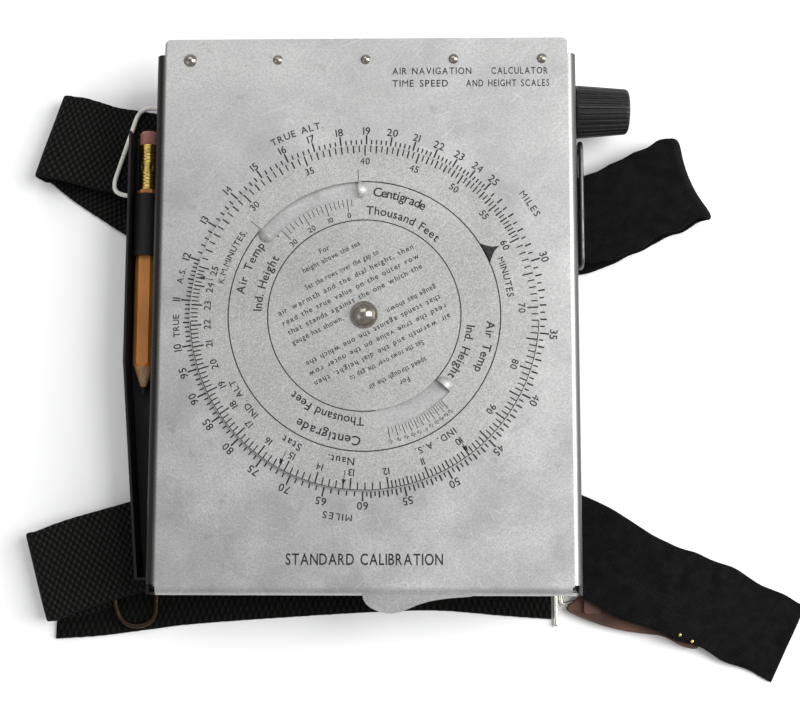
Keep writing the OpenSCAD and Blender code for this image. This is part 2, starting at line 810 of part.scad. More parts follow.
module drive_knob() {
  flute_r = 0.6;
  lean = atan((knob_r - knob_end_r) / knob_l);
  color("#161616") difference() {
    translate([knob_x, roller_y, roller_z]) rotate([0, 90, 0]) rotate_extrude($fn = 96)
      polygon(concat([[0, 0], [knob_r - 0.3, 0], [knob_r, 0.3], [knob_r, 1]],
        [for (a = [0 : 15 : 90]) [knob_end_r - 1.6 + 1.6 * cos(a), knob_l - 1.6 + 1.6 * sin(a)]],
        [[0, knob_l]]));
    for (i = [0 : knob_flutes - 1])
      translate([knob_x, roller_y, roller_z]) rotate([i * 360 / knob_flutes, 0, 0])
        translate([0.8, 0, knob_r + 0.1]) rotate([0, 90 + lean, 0])
          cylinder(h = knob_l + 2, r = flute_r, $fn = 16);
    along_x(knob_x - 1, shaft_end + 0.1, roller_y, roller_z, shaft_r);
    translate([grub_x, roller_y, roller_z - knob_r - 1]) cylinder(h = knob_r, r = grub_r);
  }
}

// in the underside of the knob, on to the shaft
module grub_screw() {
  l = 5;
  color("#7a7a7a") difference() {
    translate([grub_x, roller_y, roller_z - shaft_r - l]) cylinder(h = l, r = grub_r - 0.05);
    translate([grub_x - 2, roller_y - 0.2, roller_z - shaft_r - l - 1]) cube([4, 0.4, 1.7]);
  }
}

module drive_shaft() {
  color("#a8aaac")
    along_x(-frame_x - frame_t - 1.4, shaft_end, roller_y, roller_z, shaft_r - 0.01);
}

module roller(y) {
  difference() {
    along_x(-58, 58, y, roller_z, roller_r);
    along_x(-60, 60, y, roller_z, shaft_r);
  }
}

module drive_roller() { color("#a98a5a") roller(roller_y); }
module idler_roller() { color("#a98a5a") roller(-roller_y); }

module idler_shaft() {
  color("#a8aaac") along_x(-frame_x - frame_t - 1.4, frame_x + frame_t + 1.4,
                           -roller_y, roller_z, shaft_r - 0.01);
}

// ---------- pencil ----------

wood_top = pencil_top - eraser_l - ferrule_l;
wood_end = wood_top - pencil_wood_l;
lead_r = 1.0;
eraser_r = 3.0;
eraser_seat = 4;

module pencil_wood() {
  hex_r = pencil_flats / 2 / cos(30);
  color("#e08a2a") difference() {
    intersection() {
      translate([pencil_x, wood_top, pencil_z]) rotate([90, 0, 0])
        cylinder(h = pencil_wood_l, r = hex_r, $fn = 6);
      translate([pencil_x, wood_top, pencil_z]) rotate([90, 0, 0]) rotate_extrude()
        polygon([[0, -1], [hex_r + 0.2, -1], [hex_r + 0.2, pencil_wood_l - pencil_point_l],
                 [lead_r, pencil_wood_l], [0, pencil_wood_l]]);
    }
    along_y(wood_end - 1, wood_top + 1, pencil_x, pencil_z, lead_r);
  }
}

module pencil_lead() {
  color("#2c2c2e") {
    along_y(wood_end, wood_top, pencil_x, pencil_z, lead_r - 0.01);
    translate([pencil_x, wood_end + 0.01, pencil_z]) rotate([90, 0, 0])
      cylinder(h = 2.6, r1 = lead_r - 0.01, r2 = 0.25);
  }
}

module pencil_ferrule() {
  y0 = wood_top;
  y1 = wood_top + ferrule_l;
  color("#d8b848") difference() {
    union() {
      along_y(y0, y1, pencil_x, pencil_z, ferrule_r - 0.2);
      for (y = [y0 + 1.4, y0 + 3.2, y0 + 5, y1 - 2.6, y1 - 4.4])
        along_y(y, y + 0.9, pencil_x, pencil_z, ferrule_r);
      along_y(y0 + 7, y1 - 5.6, pencil_x, pencil_z, ferrule_r);
    }
    along_y(y1 - eraser_seat, y1 + 1, pencil_x, pencil_z, eraser_r);
  }
}

module pencil_eraser() {
  y1 = wood_top + ferrule_l;
  color("#c06878") translate([pencil_x, y1 - eraser_seat, pencil_z]) rotate([-90, 0, 0])
    rotate_extrude() polygon([[0, 0], [eraser_r - 0.02, 0], [eraser_r - 0.02, eraser_seat],
      [eraser_r + 0.2, eraser_seat + 0.2], [eraser_r + 0.3, eraser_l + eraser_seat - 0.8],
      [eraser_r - 0.4, eraser_l + eraser_seat], [0, eraser_l + eraser_seat]]);
}

case_shell();
case_hinge_leaf();
case_leaf_rivets();
hinge_pin();
catch_spring();
catch_rivets();
face_plate();
face_screws();
rose_retainer();
retainer_screws();
chart_platen();
left_side_frame();
right_side_frame();
drive_bush();
chart_belt();
pencil_channel();
channel_rivets();
pencil_clip();
upper_left_lug();
lower_left_lug();
upper_right_lug();
upper_left_ring();
lower_left_ring();
upper_right_ring();
lower_right_ring();
buckle_bar();
upper_webbing();
lower_left_loop();
lower_webbing();
upper_right_strap();
lower_right_strap();
leather_tab();
strap_keeper();
tab_rivets();
lid_shell();
lid_hinge_leaf();
lid_rivets();
dial_stud();
dial_washer();
spring_washer();
dial_nut();
minutes_disc();
rose_ring();
rose_glass();
drive_knob();
grub_screw();
drive_shaft();
drive_roller();
idler_shaft();
idler_roller();
pencil_wood();
pencil_lead();
pencil_ferrule();
pencil_eraser();
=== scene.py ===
"""Visual model of the strap-on navigational computer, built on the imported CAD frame."""
import json
import math

import bmesh
import bpy
import numpy as np
from mathutils import Euler, Matrix, Vector, noise


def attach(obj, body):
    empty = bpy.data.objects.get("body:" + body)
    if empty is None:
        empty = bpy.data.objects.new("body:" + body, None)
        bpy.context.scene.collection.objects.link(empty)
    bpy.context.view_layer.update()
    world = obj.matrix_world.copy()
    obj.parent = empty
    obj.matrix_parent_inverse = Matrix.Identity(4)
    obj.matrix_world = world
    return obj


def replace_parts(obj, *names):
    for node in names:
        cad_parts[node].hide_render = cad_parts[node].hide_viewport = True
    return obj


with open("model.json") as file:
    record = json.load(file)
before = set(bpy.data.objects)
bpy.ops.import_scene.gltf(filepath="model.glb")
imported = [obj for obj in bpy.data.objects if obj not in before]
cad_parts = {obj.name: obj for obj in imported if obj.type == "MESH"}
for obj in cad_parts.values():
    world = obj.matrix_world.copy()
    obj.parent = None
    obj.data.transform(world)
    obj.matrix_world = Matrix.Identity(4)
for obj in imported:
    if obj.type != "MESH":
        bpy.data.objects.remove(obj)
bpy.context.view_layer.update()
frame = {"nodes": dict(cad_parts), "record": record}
NODES = frame["nodes"]
MM = 0.001

# heights of the faces that carry print, mm
LID_TOP = 28.8
DISC_TOP = 29.8
ROSE_TOP = 24.3
GLASS_TOP = 23.3
FACE_TOP = 23.4
CHART_TOP = 19.85
INK_LIFT = 0.02

# clockwise angle from +Y of the 10 on each log scale, degrees
LID_SCALE_START = 260.1
DIAL_SCALE_START = 143.3

# the pencil's axis, mm
PENCIL_X = -78.2
PENCIL_Z = 11.2


# ---------- materials ----------

class Paint:
    """A Principled material with short calls for the nodes round it."""

    def __init__(self, name, **values):
        self.mat = bpy.data.materials.new(name)
        self.mat.use_nodes = True
        self.tree = self.mat.node_tree
        self.shader = self.tree.nodes["Principled BSDF"]
        self.where = self.add("ShaderNodeTexCoord").outputs["Object"]
        for key, value in values.items():
            self.set(self.shader, key.replace("_", " "), value)

    def add(self, kind, **values):
        node = self.tree.nodes.new(kind)
        for key, value in values.items():
            self.set(node, key.replace("_", " "), value)
        return node

    def set(self, node, key, value):
        socket = node.inputs[key]
        if isinstance(value, bpy.types.NodeSocket):
            self.tree.links.new(value, socket)
        else:
            socket.default_value = value

    def stretch(self, scale, turn=0.0):
        """Object coordinates turned about Z, then scaled along their new axes."""
        node = self.add("ShaderNodeMapping", Vector=self.where,
                        Scale=tuple(1 / s for s in scale), Rotation=(0, 0, turn))
        node.vector_type = "TEXTURE"
        return node.outputs["Vector"]

    def noise(self, scale, detail=3.0, rough=0.55, at=None):
        node = self.add("ShaderNodeTexNoise", Vector=at or self.where, Scale=scale, Detail=detail,
                        Roughness=rough)
        return node.outputs["Fac"]

    def math(self, op, a, b=0.0):
        node = self.add("ShaderNodeMath")
        node.operation = op
        for i, value in enumerate((a, b)):
            if isinstance(value, bpy.types.NodeSocket):
                self.tree.links.new(value, node.inputs[i])
            else:
                node.inputs[i].default_value = value
        return node.outputs[0]

    def ramp(self, fac, *stops):
        """stops are (position, grey or colour)."""
        node = self.add("ShaderNodeValToRGB", Fac=fac)
        ramp = node.color_ramp
        while len(ramp.elements) < len(stops):
            ramp.elements.new(0.5)
        for element, (position, value) in zip(ramp.elements, stops):
            element.position = position
            colour = (value,) * 3 if isinstance(value, (int, float)) else value
            element.color = (*colour, 1)
        return node.outputs["Color"]

    def mix(self, fac, a, b, blend="MIX"):
        node = self.add("ShaderNodeMix")
        node.data_type = "RGBA"
        node.blend_type = blend
        for index, value in ((0, fac), (6, a), (7, b)):
            socket = node.inputs[index]
            if isinstance(value, bpy.types.NodeSocket):
                self.tree.links.new(value, socket)
            elif index:
                socket.default_value = (*value, 1)
            else:
                socket.default_value = value
        return node.outputs[2]

    def colour(self, value):
        self.set(self.shader, "Base Color", value)
        return self

    def rough(self, value):
        self.set(self.shader, "Roughness", value)
        return self

    def bump(self, height, strength=0.4, distance=0.0002):
        node = self.add("ShaderNodeBump", Height=height, Strength=strength, Distance=distance)
        self.set(self.shader, "Normal", node.outputs["Normal"])
        return self


def across_lid(x):
    """Where x mm stands between 0 at -100 mm and 1 at 100 mm."""
    return x / 200 + 0.5


def brushed_lid():
    """Bare satin aluminium: fine grain, stains, handling scratches, and painted shade on both rolled
    side edges.
    """
    p = Paint("lid_aluminium", Metallic=0.72)
    grain = p.noise(1500, 3, 0.7)
    cloud = p.noise(30, 6, 0.65)
    base = p.mix(p.ramp(cloud, (0.32, 0.0), (0.7, 1.0)), (0.40, 0.405, 0.40), (0.56, 0.565, 0.555))
    base = p.mix(p.ramp(grain, (0.35, 0.6), (0.62, 0.0)), base, (0.29, 0.29, 0.285))
    scratch = None
    for scale, turn, cut in (((1300, 70, 40), 0.5, 0.69), ((1100, 55, 40), 1.9, 0.70),
                             ((1500, 80, 40), -0.75, 0.68), ((1400, 95, 40), 1.15, 0.69)):
        line = p.ramp(p.noise(1, 4, 0.4, p.stretch(scale, turn)), (cut, 0.0), (cut + 0.03, 1.0))
        scratch = line if scratch is None else p.math("MAXIMUM", scratch, line)
    base = p.mix(p.math("MULTIPLY", scratch, 0.2), base, (0.72, 0.72, 0.71))
    spots = p.ramp(p.noise(150, 5, 0.65), (0.64, 0.0), (0.72, 1.0))
    base = p.mix(p.math("MULTIPLY", spots, 0.4), base, (0.26, 0.26, 0.25))
    metres = p.add("ShaderNodeSeparateXYZ", Vector=p.where).outputs["X"]
    across = p.math("ADD", p.math("MULTIPLY", metres, 5.0), 0.5)
    # painted shade and dark reflection on the left rolled edge, x below -69.7 mm
    left_edge_painted_shade = p.ramp(across, (across_lid(-69.7), 1.0), (across_lid(-68.9), 0.0))
    base = p.mix(left_edge_painted_shade, base, (0.022, 0.019, 0.017))
    # painted shade on the right rolled edge, x above 70.4 mm
    wear_and_painted_shade = p.ramp(across, (across_lid(70.4), 0.0), (across_lid(70.7), 1.0))
    p.colour(p.mix(p.math("MULTIPLY", wear_and_painted_shade, 0.9), base, (0.045, 0.044, 0.042)))
    p.rough(p.ramp(p.noise(60, 4), (0.3, 0.37), (0.7, 0.5)))
    return p.bump(p.math("SUBTRACT", grain, scratch), 0.25, 0.00006).mat


def speckled_disc():
    """Etched aluminium, greyer and more grainy than the lid."""
    p = Paint("disc_aluminium", Metallic=0.55)
    grain = p.noise(2600, 3, 0.8)
    cloud = p.noise(34, 4)
    base = p.mix(p.ramp(cloud, (0.3, 0.0), (0.7, 1.0)), (0.37, 0.375, 0.365), (0.46, 0.465, 0.455))
    dark = p.ramp(grain, (0.38, 1.0), (0.56, 0.0))
    light = p.ramp(grain, (0.56, 0.0), (0.66, 1.0))
    base = p.mix(p.math("MULTIPLY", dark, 0.6), base, (0.17, 0.17, 0.165))
    base = p.mix(p.math("MULTIPLY", light, 0.6), base, (0.66, 0.66, 0.65))
    p.colour(base)
    p.rough(0.52)
    return p.bump(grain, 0.35, 0.00008).mat


def metal(name, colour, rough, dirt=0.35, scale=400):
    p = Paint(name, Metallic=1.0)
    spots = p.ramp(p.noise(scale, 4), (0.45, 0.0), (0.75, dirt))
    p.colour(p.mix(spots, colour, tuple(c * 0.35 for c in colour)))
    p.rough(p.ramp(p.noise(scale * 0.5, 3), (0.3, rough * 0.75), (0.7, rough * 1.35)))
    return p.bump(p.noise(scale * 3, 3), 0.15, 0.00004).mat


def enamel(name, colour, rough=0.42, chip=(0.09, 0.085, 0.08), chips=0.72, scale=260):
    p = Paint(name, Specular_IOR_Level=0.3)
    wear_and_painted_shade = p.ramp(p.noise(scale, 6, 0.65), (chips, 0.0), (chips + 0.02, 1.0))
    tone = p.ramp(p.noise(60, 4), (0.3, 0.0), (0.7, 1.0))
    base = p.mix(tone, tuple(c * 0.8 for c in colour), tuple(min(1, c * 1.15) for c in colour))
    p.colour(p.mix(wear_and_painted_shade, base, chip))
    p.rough(p.ramp(p.noise(90, 4), (0.3, rough * 0.85), (0.7, min(1, rough * 1.25))))
    height = p.math("SUBTRACT", p.math("MULTIPLY", p.noise(1400, 3), 0.3), wear_and_painted_shade)
    return p.bump(height, 0.3, 0.00006).mat


def phenolic():
    p = Paint("knob_black", Specular_IOR_Level=0.3)
    dust = p.ramp(p.noise(500, 5), (0.5, 0.0), (0.8, 1.0))
    p.colour(p.mix(dust, (0.006, 0.006, 0.0065), (0.024, 0.023, 0.022)))
    p.rough(p.ramp(p.noise(120, 4), (0.3, 0.3), (0.7, 0.48)))
    return p.bump(p.noise(900, 4), 0.2, 0.00008).mat


def strap_uv(p):
    """Length along the strap and place across it, in metres, as two outputs."""
    uv = p.add("ShaderNodeUVMap")
    uv.uv_map = "strap"
    return p.add("ShaderNodeSeparateXYZ", Vector=uv.outputs["UV"]).outputs


def waves(p, value, pitch, shift=0.0):
    return p.math("SINE", p.math("ADD", p.math("MULTIPLY", value, 2 * math.pi / pitch), shift))


def woven(name, base, painted_crest_highlight, along, across):
    """Plain weave of fat cords, staggered like bricks; along and across are its pitches. Colour
    follows cord height: painted highlight on the crests, painted shade in the hollows.
    """
    p = Paint(name, Specular_IOR_Level=0.1)
    run, side = strap_uv(p)["X"], strap_uv(p)["Y"]
    cords = p.math("MULTIPLY", waves(p, run, along), waves(p, side, across))
    strands = p.math("MULTIPLY", waves(p, side, across / 7), 0.16)
    height = p.math("ADD", cords, strands)
    fuzz = p.noise(2600, 4, 0.7)
    # painted highlight on the cord crests and painted shade in the hollows
    crest_painted_light = p.ramp(p.math("ADD", p.math("MULTIPLY", height, 0.5), 0.5), (0.4, 0.0), (1.0, 1.0))
    lint = p.ramp(p.noise(520, 5, 0.7), (0.68, 0.0), (0.76, 0.3))
    p.colour(p.mix(lint, p.mix(crest_painted_light, base, painted_crest_highlight), tuple(c * 3 for c in painted_crest_highlight)))
    p.rough(0.85)
    return p.bump(p.math("ADD", height, p.math("MULTIPLY", fuzz, 0.6)), 0.8, 0.0003).mat


def hook_loop():
    """Matt black tape with fine threads that run along it."""
    p = Paint("hook_loop", Specular_IOR_Level=0.08)
    side = strap_uv(p)["Y"]
    threads = waves(p, p.math("ADD", side, p.math("MULTIPLY", p.noise(120, 3), 0.0012)), 0.00075)
    fuzz = p.noise(1700, 5, 0.75)
    tone = p.math("ADD", p.math("MULTIPLY", threads, 0.2), p.noise(260, 4, 0.6))
    lint = p.ramp(fuzz, (0.68, 0.0), (0.8, 0.25))
    p.colour(p.mix(lint, p.ramp(tone, (0.3, 0.0022), (0.75, 0.0085)), (0.04, 0.04, 0.041)))
    p.rough(0.92)
    return p.bump(p.math("ADD", fuzz, p.math("MULTIPLY", threads, 0.5)), 0.8, 0.00025).mat


def hide():
    p = Paint("leather", Specular_IOR_Level=0.35)
    cells = p.add("ShaderNodeTexVoronoi", Vector=p.where, Scale=1100.0).outputs["Distance"]
    tone = p.noise(90, 5)
    p.colour(p.mix(p.ramp(tone, (0.3, 0.0), (0.75, 1.0)), (0.045, 0.020, 0.013), (0.14, 0.062, 0.040)))
    p.rough(p.ramp(tone, (0.3, 0.5), (0.7, 0.72)))
    return p.bump(p.math("ADD", cells, p.noise(500, 4)), 0.4, 0.00012).mat


def pencil_paint():
    """Orange lacquer, with bare wood where the point has been cut below the flats."""
    p = Paint("pencil_paint")
    local = p.add("ShaderNodeMapping", Vector=p.where,
                  Location=(-PENCIL_X * MM, 0, -PENCIL_Z * MM))
    split = p.add("ShaderNodeSeparateXYZ", Vector=local.outputs["Vector"])
    square = [p.math("MULTIPLY", split.outputs[a], split.outputs[a]) for a in ("X", "Z")]
    radius = p.math("SQRT", p.math("ADD", *square))
    bare = p.ramp(p.math("MULTIPLY", radius, 100.0), (0.334, 1.0), (0.338, 0.0))
    rub = p.ramp(p.noise(210, 6, 0.7), (0.66, 0.0), (0.7, 0.6))
    coat = p.mix(p.ramp(p.noise(60, 3), (0.3, 0.0), (0.7, 1.0)), (0.50, 0.17, 0.03),
                 (0.66, 0.25, 0.045))
    coat = p.mix(rub, coat, (0.36, 0.13, 0.035))
    grain = p.noise(1, 3, at=p.stretch((1500, 90, 1500)))
    wood = p.ramp(grain, (0.3, (0.36, 0.20, 0.10)), (0.7, (0.62, 0.40, 0.22)))
    p.colour(p.mix(bare, coat, wood))
    p.rough(p.math("MULTIPLY_ADD", bare, 0.4))
    return p.bump(grain, 0.15, 0.0001).mat


def ink(name, tone):
    """Printed marks, a little worn in places."""
    p = Paint(name, Specular_IOR_Level=0.3)
    thin = p.ramp(p.noise(700, 4, 0.7), (0.45, 0.0), (0.8, 1.0))
    p.colour(p.mix(thin, (tone,) * 3, (tone + 0.05,) * 3))
    p.rough(0.6)
    return p.mat


def clear():
    p = Paint("rose_clear", Transmission_Weight=1.0, IOR=1.49)
    haze = p.ramp(p.noise(120, 4), (0.3, 0.93), (0.7, 0.99))
    p.colour(haze)
    p.rough(p.ramp(p.noise(300, 4), (0.4, 0.03), (0.75, 0.12)))
    return p.mat


def turned_wood():
    p = Paint("roller_wood")
    grain = p.noise(1, 4, at=p.stretch((40, 900, 900)))
    p.colour(p.ramp(grain, (0.3, (0.22, 0.12, 0.055)), (0.7, (0.46, 0.29, 0.15))))
    p.rough(0.5)
    return p.bump(grain, 0.2, 0.0001).mat


def chart_cloth():
    p = Paint("chart_cloth", Specular_IOR_Level=0.25)
    weave = p.math("MULTIPLY", p.noise(1, 2, at=p.stretch((2600, 500, 500))),
                   p.noise(1, 2, at=p.stretch((500, 2600, 2600))))
    foxed = p.ramp(p.noise(45, 5), (0.3, 0.0), (0.8, 1.0))
    p.colour(p.mix(foxed, (0.80, 0.76, 0.64), (0.66, 0.59, 0.44)))
    p.rough(0.75)
    return p.bump(weave, 0.4, 0.0001).mat


def rubber(name, low, high):
    p = Paint(name, Specular_IOR_Level=0.25)
    p.colour(p.ramp(p.noise(420, 5, 0.65), (0.35, low), (0.7, high)))
    p.rough(0.85)
    return p.bump(p.noise(1300, 4, 0.7), 0.5, 0.00015).mat


def studio_floor():
    p = Paint("floor", Specular_IOR_Level=0.1)
    p.colour(p.ramp(p.noise(8, 2), (0.2, 0.90), (0.8, 0.93)))
    p.rough(0.9)
    return p.mat


M = {
    "case_black": enamel("case_black", (0.008, 0.008, 0.0085), 0.5, (0.13, 0.13, 0.125), 0.74),
    "lid_aluminium": brushed_lid(),
    "disc_aluminium": speckled_disc(),
    "nickel": metal("nickel", (0.36, 0.33, 0.28), 0.2, 0.75, 700),
    "steel": metal("steel", (0.46, 0.46, 0.455), 0.33),
    # dark_steel darkens the upper right wire ring as painted shade
    "dark_steel": metal("dark_steel", (0.12, 0.12, 0.12), 0.45),
    "brass": metal("brass", (0.78, 0.55, 0.15), 0.2, 0.75, 420),
    "white_wire": enamel("white_wire", (0.78, 0.76, 0.70), 0.35, (0.20, 0.16, 0.12), 0.66, 500),
    "brown_wire": metal("brown_wire", (0.045, 0.030, 0.020), 0.45, 0.6, 500),
    "cream_wire": metal("cream_wire", (0.80, 0.77, 0.68), 0.24, 0.35, 600),
    "knob_black": phenolic(),
    "face_black": enamel("face_black", (0.028, 0.028, 0.03), 0.7, (0.3, 0.3, 0.29), 0.76),
    "rose_paint": enamel("rose_paint", (0.74, 0.70, 0.57), 0.6, (0.36, 0.34, 0.3), 0.76),
    "rose_clear": clear(),
    "chart_cloth": chart_cloth(),
    "roller_wood": turned_wood(),
    # the second colour of each woven strap is the painted highlight on its cord crests
    "webbing": woven("webbing", (0.002, 0.002, 0.0018), (0.021, 0.0205, 0.019), 0.0022, 0.0031),
    "band": woven("band", (0.0018, 0.0018, 0.0016), (0.011, 0.0107, 0.0098), 0.0022, 0.0052),
    "hook_loop": hook_loop(),
    "leather": hide(),
    "pencil_paint": pencil_paint(),
    "graphite": rubber("graphite", (0.02, 0.02, 0.022), (0.06, 0.06, 0.065)),
    "eraser": rubber("eraser", (0.30, 0.11, 0.10), (0.52, 0.24, 0.21)),
    "ink": ink("ink", 0.006),
    "pale_ink": ink("pale_ink", 0.6),
}
for part in frame["record"]["subparts"]:
    NODES[part["node"]].data.materials.clear()
    NODES[part["node"]].data.materials.append(M[part["material_slot"]])


# ---------- mesh helpers ----------

def mesh_object(name, verts, faces, material, body, smooth=True):
    """verts in millimetres."""
    data = bpy.data.meshes.new(name)
    data.from_pydata([tuple(c * MM for c in v) for v in verts], [], faces)
    data.validate()
    data.materials.append(M[material])
    if smooth:
        data.shade_smooth()
    obj = bpy.data.objects.new(name, data)
    bpy.context.scene.collection.objects.link(obj)
    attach(obj, body)
    return obj


def fix_normals(obj):
    bm = bmesh.new()
    bm.from_mesh(obj.data)
    bmesh.ops.recalc_face_normals(bm, faces=bm.faces)
    bm.to_mesh(obj.data)
    bm.free()


def tube(name, path, radius, material, body, around=14):
    """A closed loop of round wire through the path's points, in mm."""
    path = [Vector(p) for p in path]
    k = len(path)
    verts = []
    side = None
    for i, p in enumerate(path):
        along = (path[(i + 1) % k] - path[i - 1]).normalized()
        if side is None:
            side = along.orthogonal().normalized()
        side = (side - along * side.dot(along)).normalized()
        up = along.cross(side)
        for j in range(around):
            a = 2 * math.pi * j / around
            verts.append(p + radius * (math.cos(a) * side + math.sin(a) * up))
    faces = [(i * around + j, i * around + (j + 1) % around,
              (i + 1) % k * around + (j + 1) % around, (i + 1) % k * around + j)
             for i in range(k) for j in range(around)]
    obj = mesh_object(name, verts, faces, material, body)
    fix_normals(obj)
    return obj


def rounded_loop(corners, reach, steps=9):
    """The closed path round some corners, each turned into a curve over the last reach mm."""
    out = []
    pts = [Vector(c) for c in corners]
    for i, b in enumerate(pts):
        a, c = pts[i - 1], pts[(i + 1) % len(pts)]
        s = b + (a - b).normalized() * min(reach, (a - b).length / 2.1)
        e = b + (c - b).normalized() * min(reach, (c - b).length / 2.1)
        for j in range(steps + 1):
            t = j / steps
            out.append((1 - t) ** 2 * s + 2 * t * (1 - t) * b + t * t * e)
    return out


def lathe_y(name, profile, centre, material, body, around):
    """profile is (radius, y) pairs in mm round an axis along Y through centre (x, z)."""
    verts, faces = [], []
    for r, y in profile:
        for j in range(around):
            a = 2 * math.pi * j / around
            verts.append((centre[0] + r * math.cos(a), y, centre[1] + r * math.sin(a)))
    for i in range(len(profile) - 1):
        for j in range(around):
            q = (j + 1) % around
            faces.append((i * around + j, i * around + q, (i + 1) * around + q,
                          (i + 1) * around + j))
    faces += [tuple(range(around)), tuple(reversed(range(len(verts) - around, len(verts))))]
    obj = mesh_object(name, verts, faces, material, body)
    fix_normals(obj)
    return obj


# ---------- printed marks ----------

class Print:
    """Flat printed marks collected into one mesh that lies just above a face."""

    glyphs = {}

    def __init__(self, z):
        self.z = z + INK_LIFT
        self.verts = []
        self.faces = []

    def polygon(self, points):
        start = len(self.verts)
        self.verts += [(x, y, self.z) for x, y in points]
        self.faces.append(tuple(range(start, start + len(points))))

    def line(self, a, b, width):
        a, b = Vector(a), Vector(b)
        side = (b - a).normalized()
        side = Vector((-side.y, side.x)) * width / 2
        self.polygon([a - side, b - side, b + side, a + side])

    def tick(self, angle, r0, r1, width=0.28):
        self.line(polar(angle, r0), polar(angle, r1), width)

    def arc(self, radius, width, start=0.0, end=360.0):
        steps = max(8, int(abs(end - start) / 2))
        for i in range(steps):
            a, b = (start + (end - start) * k / steps for k in (i, i + 1))
            self.polygon([polar(a, radius - width / 2), polar(a, radius + width / 2),
                          polar(b, radius + width / 2), polar(b, radius - width / 2)][::-1])

    def dot(self, angle, radius, size):
        x, y = polar(angle, radius)
        self.polygon([(x + size * math.cos(t), y + size * math.sin(t))
                      for t in (2 * math.pi * k / 10 for k in range(10))])

    @classmethod
    def glyph(cls, char):
        """Points, faces and width of one character, with capitals 1 unit high."""
        if char not in cls.glyphs:
            curve = bpy.data.curves.new("glyph", "FONT")
            curve.body = char
            curve.resolution_u = 3
            curve.offset = 0.0 if char in "MWK4" else 0.012
            obj = bpy.data.objects.new("glyph", curve)
            mesh = bpy.data.meshes.new_from_object(obj)
            verts = [(v.co.x, v.co.y) for v in mesh.vertices]
            faces = [tuple(f.vertices) for f in mesh.polygons]
            bpy.data.objects.remove(obj)
            bpy.data.meshes.remove(mesh)
            cap = 0.73
            low = min((x for x, _ in verts), default=0)
            wide = max((x for x, _ in verts), default=0.28) - low
            cls.glyphs[char] = ([((x - low) / cap, y / cap) for x, y in verts], faces, wide / cap)
        return cls.glyphs[char]

    def place(self, char, size, matrix, squeeze=1.0):
        points, faces, wide = self.glyph(char)
        start = len(self.verts)
        for x, y in points:
            v = matrix @ Vector(((x - wide / 2) * size * squeeze, (y - 0.5) * size, 0))
            self.verts.append((v.x, v.y, self.z))
        self.faces += [tuple(start + i for i in f) for f in faces]

    def advances(self, text, size, gap):
        """The centre of each character along the line, and the line's whole width."""
        widths = [self.glyph(c)[2] * size if c != " " else size * 0.42 for c in text]
        total = sum(widths) + gap * (len(text) - 1)
        at, out = -total / 2, []
        for w in widths:
            out.append(at + w / 2)
            at += w + gap
        return out, total

    def arc_text(self, text, angle, radius, size, gap=0.32, span=None):
        """Letters stand outwards from the centre; span is the angle they spread over."""
        spots, total = self.advances(text, size, gap)
        stretch = 1.0 if span is None else math.radians(span) * radius / total
        for char, s in zip(text, spots):
            if char == " ":
                continue
            a = math.radians(angle) + s * stretch / radius
            m = Matrix.Translation((radius * math.sin(a), radius * math.cos(a), 0))
            self.place(char, size, m @ Matrix.Rotation(-a, 4, "Z"))

    def text(self, text, x, y, size, gap=0.3, turn=0.0, width=None):
        """One straight line; width, if given, squeezes the letters and their spaces to fit."""
        spots, total = self.advances(text, size, gap)
        stretch = 1.0 if width is None else width / total
        frame_m = Matrix.Translation((x, y, 0)) @ Matrix.Rotation(math.radians(turn), 4, "Z")
        for char, s in zip(text, spots):
            if char != " ":
                self.place(char, size, frame_m @ Matrix.Translation((s * stretch, 0, 0)),
                           min(1.0, stretch))

    def build(self, name, body, material="ink"):
        return mesh_object(name, self.verts, self.faces, material, body, smooth=False)


def polar(angle, radius):
    a = math.radians(angle)
    return (radius * math.sin(a), radius * math.cos(a))


def whole(value):
    return abs(value - round(value)) < 1e-6


def log_ticks():
    """Values from 10 to 100 with their rank: 0 short, 1 middle, 2 long."""
    out = []
    for low, high, step, middle, long in ((10, 12, 0.1, 0.5, 1), (12, 25, 0.2, 1, 1),
                                          (25, 60, 0.5, 1, 5), (60, 100, 1, 5, 5)):
        for i in range(round((high - low) / step)):
            v = low + i * step
            out.append((v, 2 if whole(v / long) else 1 if whole(v / middle) else 0))
    return out


def scale_angle(value, start):
    return start + 360 * math.log10(value / 10)


def print_lid():
    p = Print(LID_TOP)
    for v, rank in log_ticks():
        p.tick(scale_angle(v, LID_SCALE_START), 59.3, (60.9, 61.5, 62.5)[rank],
               0.56 if rank else 0.48)
    for v in (*range(10, 26), *range(30, 100, 5)):
        p.arc_text(str(v), scale_angle(v, LID_SCALE_START), 64.1, 2.7, 0.35)
    p.arc_text("TRUE ALT.", 339.6, 67.9, 2.5, 0.5)
    p.arc_text("MILES", 55.7, 68.2, 2.4, 0.8)
    p.arc_text("MILES", 187.3, 68.2, 2.4, 0.8)
    p.arc_text("TRUE", 266.8, 63.9, 2.2, 0.35)
    p.arc_text("A.S.", 282.4, 63.9, 2.2, 0.45)
    for text, x, y, size, width in (
            ("AIR NAVIGATION", 22.9, 85.3, 2.5, 27.2), ("CALCULATOR", 53.1, 85.3, 2.5, 19.4),
            ("TIME SPEED", 18.9, 80.9, 2.5, 19.2), ("AND HEIGHT SCALES", 49.0, 80.9, 2.5, 28.6),
            ("STANDARD CALIBRATION", 0.4, -81.4, 3.9, 52.0)):
        p.text(text, x, y, size, 0.6, width=width)
    return p.build("lid_print", "lid")


def dial_scale(p):
    for v, rank in log_ticks():
        p.tick(scale_angle(v, DIAL_SCALE_START), (56.3, 55.9, 55.0)[rank], 58.6,
               0.5 if rank else 0.42)
    for v in (*range(10, 26), *range(30, 60, 5), *range(60, 100, 10)):
        p.arc_text(str(v), scale_angle(v, DIAL_SCALE_START), 53.2, 2.4, 0.3)
    p.arc(58.75, 0.26, 92, 268)
    p.arc(45.95, 0.4, 0, 310)
    p.arc(45.95, 0.4, 357.5, 360)
    p.arc(32.6, 0.38, 173, 492)


